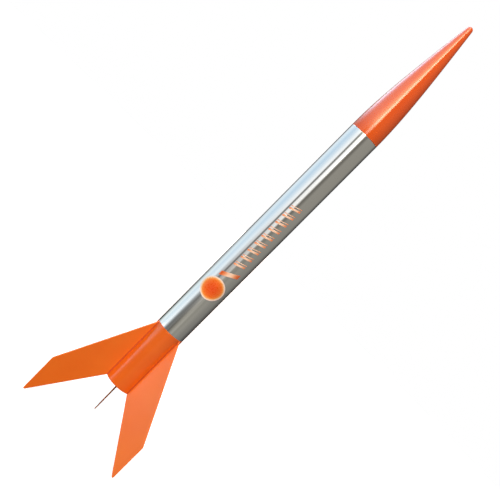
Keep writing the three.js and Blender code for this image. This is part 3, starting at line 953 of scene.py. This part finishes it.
def makeBand():
    rear, front = mountSet["band"]
    slot = mountSet["slotHalf"]
    band = tubeOf("hookBand", mountSet["ringInnerR"], mountSet["bandOuterR"], rear, front, 0.3 * mm)
    cutAway(band, blockOf("channelCutter", (9 * mm, -slot, rear - mm),
                          (mountSet["channelR"], slot, front + mm)))
    turnAbout(band, mountSet["azimuth"])
    place(band, "airframe", ["hook_band"], wrappedTape())


makeMount()
makeBand()
print("motor mount made")


# motor hook

hookSet = {"width": 3.6 * mm, "thickness": 0.7 * mm, "runR": 10.05 * mm, "clawR": 7.4 * mm,
           "tabR": 7.35 * mm, "frontClaw": 136.25 * mm, "rearClaw": 64.85 * mm, "tabRear": 60.25 * mm,
           "bend": 0.75 * mm}


# spring steel strip: blued grey, rolling lines along it, bright where it rubs
rolledSteel = grained("temperedSpringSteel", ("#777d86", "#b4b6ba"), (2600.0, 3.0), (0.12, 0.02 * mm),
                      (0.18, 0.42), stain=(60.0, 2.0), stretch=0.02, Metallic=1.0)


def rounded(corners, bend, steps=5):
    # a route with every inner corner turned through the bend
    route = [corners[0]]
    for before, corner, after in zip(corners, corners[1:], corners[2:]):
        corner, before, after = Vector(corner), Vector(before), Vector(after)
        start = corner + (before - corner).normalized() * bend
        end = corner + (after - corner).normalized() * bend
        for step in range(steps + 1):
            t = step / steps
            route.append(tuple(start * (1 - t) ** 2 + corner * 2 * t * (1 - t) + end * t ** 2))
    return route + [corners[-1]]


def makeHook():
    run, tab = hookSet["runR"], hookSet["tabR"]
    frontClaw, rearClaw = hookSet["frontClaw"], hookSet["rearClaw"]
    corners = [(hookSet["clawR"], frontClaw), (run, frontClaw), (run, rearClaw), (tab, rearClaw),
               (tab, hookSet["tabRear"])]
    hook = strip("motorHook", rounded(corners, hookSet["bend"]), hookSet["width"], hookSet["thickness"])
    turnAbout(hook, mountSet["azimuth"])
    place(hook, "hook", ["engine_hook"], rolledSteel)


makeHook()
print("hook made")


# motor

motorSet = {
    "caseInnerR": 6.4 * mm, "caseR": 8.8 * mm, "rear": 65.5 * mm, "front": 135.5 * mm, "fillR": 6.15 * mm,
    "throatR": 1.6 * mm, "nozzleFront": 74.5 * mm, "grainFront": 100.5 * mm, "delayFront": 111.5 * mm,
    "cap": (127.5 * mm, 130.5 * mm), "coreDepth": 7 * mm,
}


def pressedPowder(name, light, dark, grit, roughness):
    # Powder pressed hard into the case: matt and gritty, mottled, with painted shade darkening its pores
    material, tree, spot = startMaterial(name)
    grains = addNode(tree, "TexVoronoi", {"Vector": spot, "Scale": 1 / grit})
    cloud = addNode(tree, "TexNoise", {"Vector": spot, "Scale": 260.0, "Detail": 5.0})
    # painted shade: the colour darkens where the inverted bump sinks the pits, over the powder's own mottle
    poreShadeAndMottle = addNode(tree, "Math", {0: grains, 1: cloud}, operation="MULTIPLY")
    colour = addNode(tree, "ValToRGB", {"Fac": poreShadeAndMottle}, [(0, light), (0.45, dark)])
    pits = addNode(tree, "Bump", {"Height": grains, "Strength": 0.5, "Distance": 0.12 * mm}, invert=True)
    return finishMaterial(material, {
        "Base Color": colour, "Roughness": roughness, "Specular IOR Level": 0.3, "Normal": pits,
    })


def makeMotor():
    inner, outer, rear, front = (motorSet[key] for key in ("caseInnerR", "caseR", "rear", "front"))
    case = tubeOf("motorCase", inner, outer, rear, front, 0.3 * mm)
    place(case, "motor", ["motor_case"],
          woundCard("waxedMotorPaper", "#a5604a", "#84402e", 17 * mm))
    throat, fill = motorSet["throatR"], motorSet["fillR"]
    lip = rear + 0.8 * mm
    nozzleFront = motorSet["nozzleFront"]
    stations = [
        (throat, rear + 4 * mm), (throat + 0.7 * mm, rear + 2.2 * mm), (throat + 1.7 * mm, lip + 0.3 * mm),
        (throat + 2.3 * mm, lip), (fill - 0.4 * mm, lip), (fill, lip + 0.3 * mm), (fill, nozzleFront),
        (throat, nozzleFront), (throat, rear + 4 * mm),
    ]
    nozzle = settle(raised("motorNozzle", stations, 72), 50)
    place(nozzle, "motor", ["motor_nozzle"],
          pressedPowder("pressedClay", "#aaa092", "#7d7263", 0.35 * mm, 0.9))
    grainRear, grainFront = nozzleFront + 0.3 * mm, motorSet["grainFront"]
    core = nozzleFront + motorSet["coreDepth"]
    grain = settle(raised("motorGrain", [
        (0, core), (throat * 0.55, core - 1.2 * mm), (throat, grainRear), (fill - 0.3 * mm, grainRear),
        (fill, grainRear + 0.3 * mm), (fill, grainFront), (fill * 0.6, grainFront), (0, grainFront),
    ], 72), 50)
    place(grain, "motor", ["motor_propellant"],
          pressedPowder("pressedBlackPowder", "#3c3936", "#1c1a19", 0.5 * mm, 0.78))
    delay = plugOf("motorDelay", fill, grainFront + 0.3 * mm, motorSet["delayFront"], 0.3 * mm)
    place(delay, "motor", ["motor_delay"],
          pressedPowder("pressedDelayPowder", "#67625a", "#454039", 0.4 * mm, 0.85))
    cap = plugOf("motorCap", fill, *motorSet["cap"], 0.4 * mm)
    place(cap, "motor", ["motor_end_cap"],
          pressedPowder("tampedClayCap", "#b5ab9b", "#8b8070", 0.45 * mm, 0.92))


makeMotor()
print("motor made")


# nose plug, eyelet and swivel

plugSet = {"radius": 14.6 * mm, "rear": 400.5 * mm, "front": 409.4 * mm, "floor": 402.9 * mm,
           "wall": 1.2 * mm, "eyeletHeight": 397.3 * mm, "eyeletR": 3.5 * mm, "eyeletWire": 1.2 * mm}
swivelSet = {"barrel": (384.5 * mm, 389.2 * mm), "barrelR": 1.3 * mm,
             "rings": [(392.5 * mm, 3.4 * mm, 0.5 * mm), (382.7 * mm, 1.7 * mm, 0.45 * mm)]}


def makeNosePlug():
    radius, rear, front, floor = (plugSet[key] for key in ("radius", "rear", "front", "floor"))
    wall = plugSet["wall"]
    rim = 0.35 * mm
    cup = raised("nosePlug", [
        (0, rear), (3 * mm, rear), (radius - rim, rear), (radius, rear + rim), (radius, front - rim),
        (radius - rim, front), (radius - wall, front), (radius - wall, floor + 0.5 * mm),
        (radius - wall - 0.5 * mm, floor), (0, floor),
    ], 96)
    settle(cup)
    eyelet = ringOf("eyelet", (0, 0, plugSet["eyeletHeight"]), plugSet["eyeletR"], plugSet["eyeletWire"],
                    (math.pi / 2, 0, 0))
    growOn(cup, eyelet)
    place(cup, "nose", ["nose_base_plug"], nosePlastic)


# drawn brass wire, barrel turned: warm yellow metal, fine draw lines, a little tarnish
drawnBrass = grained("drawnBrassWire", ("#d8bc78", "#a8854a"), (420.0, 4.0), (0.1, 0.02 * mm), (0.14, 0.4),
                     Metallic=1.0)


def makeSwivel():
    rear, front = swivelSet["barrel"]
    r = swivelSet["barrelR"]
    length = front - rear
    stations = [(0, rear), (r * 0.55, rear), (r * 0.8, rear + 0.25 * mm), (r * 0.85, rear + 0.9 * mm),
                (r, rear + 1.2 * mm), (r, rear + length * 0.45), (r * 0.86, rear + length * 0.5),
                (r, rear + length * 0.55), (r, front - 1.2 * mm), (r * 0.85, front - 0.9 * mm),
                (r * 0.8, front - 0.25 * mm), (r * 0.55, front), (0, front)]
    barrel = settle(raised("swivelBarrel", stations, 40))
    sideways = (0, math.pi / 2, 0)
    rings = [ringOf("swivelRing", (0, 0, height), radius, wireR, sideways)
             for height, radius, wireR in swivelSet["rings"]]  # the link above and the loop below
    swivel = joinAll([barrel] + rings, "snapSwivel")
    settle(swivel, 50)
    place(swivel, "nose", ["snap_swivel"], drawnBrass)


makeNosePlug()
makeSwivel()
print("plug and swivel made")


# parachute: a film canopy folded and rolled, and its six lines

rollSet = {"radius": 9.7 * mm, "coreR": 1.6 * mm, "pitch": 0.5 * mm, "middleY": -5.8 * mm,
           "rear": 212.4 * mm, "front": 329.6 * mm, "rows": 14, "stepsPerTurn": 40,
           "panel": 39 * mm, "flat": (0.30, 0.3464), "area": 0.0779}
lineSet = {"radius": 0.28 * mm, "lines": 6, "spread": 0.62 * mm, "narrowing": 0.35, "twist": 1.5}


def canopyFilm():
    # Thin polyethylene film in bright and white panels: glossy, milky, with fine fold creases
    material, tree, spot = startMaterial("blownPolyetheneFilm")
    split = addNode(tree, "SeparateXYZ", {"Vector": spot})
    panel = addNode(tree, "Math", {0: split.outputs["Z"], 1: 1 / rollSet["panel"]}, operation="MULTIPLY")
    part = addNode(tree, "Math", {0: panel}, operation="FRACT")
    edge = addNode(tree, "Math", {0: part, 1: 0.5}, operation="GREATER_THAN")
    cloud = addNode(tree, "TexNoise", {"Vector": spot, "Scale": 120.0, "Detail": 3.0})
    pale = addNode(tree, "ValToRGB", {"Fac": cloud}, [(0, "#f6f3ec"), (1, "#e4e0d6")])
    bright = addNode(tree, "ValToRGB", {"Fac": cloud}, [(0, "#f26a24"), (1, "#d85414")])
    colour = addNode(tree, "Mix", {0: edge, 6: pale, 7: bright}, data_type="RGBA")
    crease = addNode(tree, "TexVoronoi", {"Vector": spot, "Scale": 160.0}, feature="DISTANCE_TO_EDGE")
    fold = addNode(tree, "Bump", {"Height": crease, "Strength": 0.25, "Distance": 0.2 * mm})
    gloss = addNode(tree, "MapRange", {"Value": cloud, "To Min": 0.2, "To Max": 0.36})
    return finishMaterial(material, {"Base Color": colour, "Roughness": gloss, "IOR": 1.51, "Normal": fold})


def makeCanopy():
    # the folded canopy rolled from the core outwards, loose at the outer edge
    turns = (rollSet["radius"] - rollSet["coreR"]) / rollSet["pitch"]
    steps = int(turns * rollSet["stepsPerTurn"])
    route = []
    for step in range(steps + 1):
        angle = 2 * math.pi * turns * step / steps
        radius = rollSet["coreR"] + rollSet["pitch"] * turns * step / steps
        route.append((radius * math.cos(angle), radius * math.sin(angle)))
    rear, front = rollSet["rear"], rollSet["front"]
    length = front - rear
    roll = strip("canopyRoll", route, length, 0, upright=False, depth=(rear + front) / 2)
    choose(roll, "EDGE", lambda edge: abs(roll.data.vertices[edge.vertices[0]].co.z
                                          - roll.data.vertices[edge.vertices[1]].co.z) > length / 2)
    bpy.ops.mesh.subdivide(number_cuts=rollSet["rows"])
    leaveEdit()
    for vertex in roll.data.vertices:
        radius = math.hypot(vertex.co.x, vertex.co.y)
        angle = math.atan2(vertex.co.y, vertex.co.x)
        along = (vertex.co.z - rollSet["rear"]) / length
        nearEnd = min(along, 1 - along)
        loose = 0.12 * mm * math.sin(3 * angle + 9 * along) * (radius / rollSet["radius"])
        ragged = 1.6 * mm * math.exp(-nearEnd * 14) * (0.5 + 0.5 * math.sin(radius / mm * 5.3 + angle))
        waist = 1 - 0.05 * math.exp(-((along - 0.5) / 0.16) ** 2)
        grow = (radius * waist + loose) / radius
        vertex.co.x *= grow
        vertex.co.y = vertex.co.y * grow + rollSet["middleY"]
        vertex.co.z += ragged if along < 0.5 else -ragged
    pick(roll)
    bpy.ops.object.shade_smooth()
    place(roll, "recovery_pack", ["parachute_canopy"], canopyFilm())


def twistedThread(name, light, dark):
    # Twisted cotton line: matt, hairy, its strands a fine slanting rib
    material, tree, spot = startMaterial(name)
    rib = addNode(tree, "TexWave", {"Vector": spot, "Scale": 260.0, "Distortion": 1.5, "Detail": 1.0},
                  bands_direction="DIAGONAL")  # 0.6 mm twist, drawn coarse enough to show
    colour = addNode(tree, "ValToRGB", {"Fac": rib.outputs["Fac"]}, [(0, dark), (1, light)])
    twist = addNode(tree, "Bump", {"Height": rib.outputs["Fac"], "Strength": 0.5, "Distance": 0.08 * mm})
    return finishMaterial(material, {
        "Base Color": colour, "Roughness": 0.85, "Specular IOR Level": 0.25, "Normal": twist,
    })


def makeLines():
    # the six lines leave the roll as one loose twist and are tied on the swivel's lower loop
    middle = inMm((0, -5.8, 322), (0, -5.8, 331), (0, -5.8, 340), (0, -4.6, 350), (0, -2.9, 359),
                  (0, -1.3, 367), (0, -0.4, 374), (0, 0, 380))
    lines = []
    for number in range(lineSet["lines"]):
        route = []
        for step, (x, y, height) in enumerate(middle):
            share = step / (len(middle) - 1)
            angle = 2 * math.pi * (number / lineSet["lines"] + lineSet["twist"] * share)
            spread = lineSet["spread"] * (1 - lineSet["narrowing"] * share)
            route.append((x + spread * math.cos(angle), y + spread * math.sin(angle), height))
        lines.append(wire("line", route, lineSet["radius"]))
    knot = ringOf("lineKnot", (0, 0, 380.6 * mm), 0.85 * mm, 0.5 * mm, (0, 0, 0))
    piece = joinAll(lines + [knot], "shroudLines")
    settle(piece, 60)
    place(piece, None, ["shroud_lines"],
          twistedThread("twistedCottonLine", "#f4f0e6", "#c9c2b2"))
    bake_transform(piece)


makeCanopy()
makeLines()
print("parachute made")


# elastic shock cord and its anchor

cordSet = {"thickness": 0.9 * mm, "width": 3.2 * mm, "layers": 28, "pitch": 2 * mm, "halfRun": 9 * mm,
           "first": 336 * mm, "stackY": 7.8 * mm, "turnSteps": 6, "endR": 0.7 * mm,
           "plait": 0.8 * mm}
anchorSet = {"outerR": 16.2 * mm, "thickness": 0.45 * mm, "halfAngle": 31, "rear": 360.2 * mm,
             "front": 385.8 * mm, "steps": 24}


def braidedElastic():
    # Flat braided elastic: cream rayon over rubber, fine chevrons along its run
    material, tree, spot = startMaterial("braidedFlatElastic")
    split = addNode(tree, "SeparateXYZ", {"Vector": spot})
    beside = addNode(tree, "Math", {0: split.outputs["Y"], 1: -cordSet["stackY"]}, operation="ADD")
    half = addNode(tree, "Math", {0: beside}, operation="ABSOLUTE")
    along = addNode(tree, "Math", {0: split.outputs["X"], 1: half}, operation="ADD")
    phase = addNode(tree, "Math", {0: along, 1: 2 * math.pi / cordSet["plait"]}, operation="MULTIPLY")
    rib = addNode(tree, "Math", {0: phase}, operation="SINE")
    height = addNode(tree, "MapRange", {"Value": rib, "From Min": -1.0})
    colour = addNode(tree, "ValToRGB", {"Fac": height}, [(0, "#c8c0ac"), (1, "#f2eee2")])
    plait = addNode(tree, "Bump", {"Height": height, "Strength": 0.5, "Distance": 0.12 * mm})
    return finishMaterial(material, {
        "Base Color": colour, "Roughness": 0.88, "Specular IOR Level": 0.25,
        "Sheen Weight": 0.2, "Sheen Roughness": 0.5, "Normal": plait,
    })


elastic = braidedElastic()


def foldedRoute():
    # to and fro in flat layers, a half turn at each end
    route = []
    half = cordSet["pitch"] / 2
    for layer in range(cordSet["layers"]):
        height = cordSet["first"] + layer * cordSet["pitch"]
        side = 1 if layer % 2 == 0 else -1
        last = layer == cordSet["layers"] - 1
        end = 4 * mm if last else cordSet["halfRun"]
        for share in (0, 0.25, 0.5, 0.75, 1):
            route.append((side * (-cordSet["halfRun"] + (end + cordSet["halfRun"]) * share), height))
        if not last:
            for step in range(1, cordSet["turnSteps"]):
                angle = math.pi * step / cordSet["turnSteps"]
                route.append((side * (cordSet["halfRun"] + half * math.sin(angle)),
                              height + half - half * math.cos(angle)))
    return route


def makeCord():
    folds = strip("shockCordFolds", foldedRoute(), cordSet["width"], cordSet["thickness"],
                  depth=cordSet["stackY"])
    toEyelet = wire("cordToEyelet", inMm((-2, 7.8, 390), (3, 7.8, 390.1), (6.4, 7.2, 391.4), (7.4, 6, 394),
                                         (6.4, 3.6, 396.4), (5.2, 1.4, 397.4)), cordSet["endR"])
    knot = ringOf("cordKnot", (4.2 * mm, 0.2 * mm, 397.3 * mm), 1.85 * mm, 0.55 * mm, (0.25, 0, 0))
    folds = joinAll([folds, toEyelet, knot], "shockCordFolds")
    settle(folds, 50)
    place(folds, None, [], elastic)
    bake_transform(folds)
    lead = wire("shockCordLead", inMm((-9, 7.8, 336), (-10.7, 8.6, 336.2), (-10.4, 10.4, 337.6),
                                      (-7.6, 12.4, 341.5), (-3.2, 13.5, 346), (-0.4, 13.9, 353),
                                      (0, 14.1, 360), (0, 14.3, 366)), cordSet["endR"])
    place(lead, "airframe", ["shock_cord"], elastic)


def makeAnchor():
    # a card tab folded over and glued to the wall on the cord's end, its inner layer a little smaller
    layers = []
    for number in range(2):
        radius = anchorSet["outerR"] - anchorSet["thickness"] * (number + 0.5)
        spread = anchorSet["halfAngle"] - number * 1.5
        arc = []
        for step in range(anchorSet["steps"] + 1):
            angle = math.radians(90 - spread + 2 * spread * step / anchorSet["steps"])
            arc.append((radius * math.cos(angle), radius * math.sin(angle)))
        trim = number * 0.5 * mm
        length = anchorSet["front"] - anchorSet["rear"] - 2 * trim
        layers.append(strip("anchorLayer", arc, length, anchorSet["thickness"] * 0.96, upright=False,
                            depth=(anchorSet["front"] + anchorSet["rear"]) / 2))
    anchor = joinAll(layers, "cordAnchor")
    place(anchor, "airframe", ["shock_cord_anchor"],
          woundCard("foldedAnchorCard", "#efe9d8", "#d8cfb8", 0))


makeCord()
makeAnchor()
print("shock cord made")


# recovery wadding

waddingSet = {
    "sheets": [("rearWadding", "wadding_rear", 172 * mm, 14 * mm),
               ("frontWadding", "wadding_front", 190 * mm, 12 * mm)],
    "radius": 15.7 * mm, "grid": 100, "crease": 2.1 * mm, "flat": 0.040,
}


# flame-proofed tissue: soft matt pale green-grey, crumpled, with fine creped lines
tissue = grained("flameproofTissue", ("#e6e9da", "#cdd3bd"), (1500.0, 3.0), (0.4, 0.08 * mm),
                 stain=(130.0, 3.0), Roughness=0.95, Specular_IOR_Level=0.2, Sheen_Weight=0.15,
                 Sheen_Roughness=0.6)


def makeWadding(name, node, rear, rise):
    # a square sheet poked into the tube: its middle sinks, its edge gathers up the wall in creases
    grid = waddingSet["grid"]
    sheet = add(bpy.ops.mesh.primitive_grid_add, name, x_subdivisions=grid, y_subdivisions=grid, size=2)
    for vertex in sheet.data.vertices:
        x, y = vertex.co.x, vertex.co.y
        reach = max(abs(x), abs(y))
        angle = math.atan2(y, x)
        edge = noise.noise(Vector((x * 2.0, y * 2.0, rear / mm)))  # a torn, uneven outline
        radius = reach * waddingSet["radius"] * (0.93 + 0.05 * edge)
        crumple = Vector((x * 4.4, y * 4.4, rear * 40))
        ridge = 1 - 2 * abs(noise.noise(crumple)) - 0.9 * abs(noise.noise(crumple * 2.3))
        pleat = 0.55 * math.sin(angle * 11 + 3 * noise.noise(crumple)) * reach ** 2  # 11 round the wall
        bowl = rise * (1 - math.cos(math.pi / 2 * reach))
        height = rear + 2.2 * mm + bowl * 0.72 + waddingSet["crease"] * (ridge * 0.8 + pleat)
        vertex.co = (radius * math.cos(angle), radius * math.sin(angle), height)
    pick(sheet)
    bpy.ops.object.shade_smooth()
    place(sheet, "airframe", [node], tissue)


for name, node, rear, rise in waddingSet["sheets"]:
    makeWadding(name, node, rear, rise)
print("wadding made")
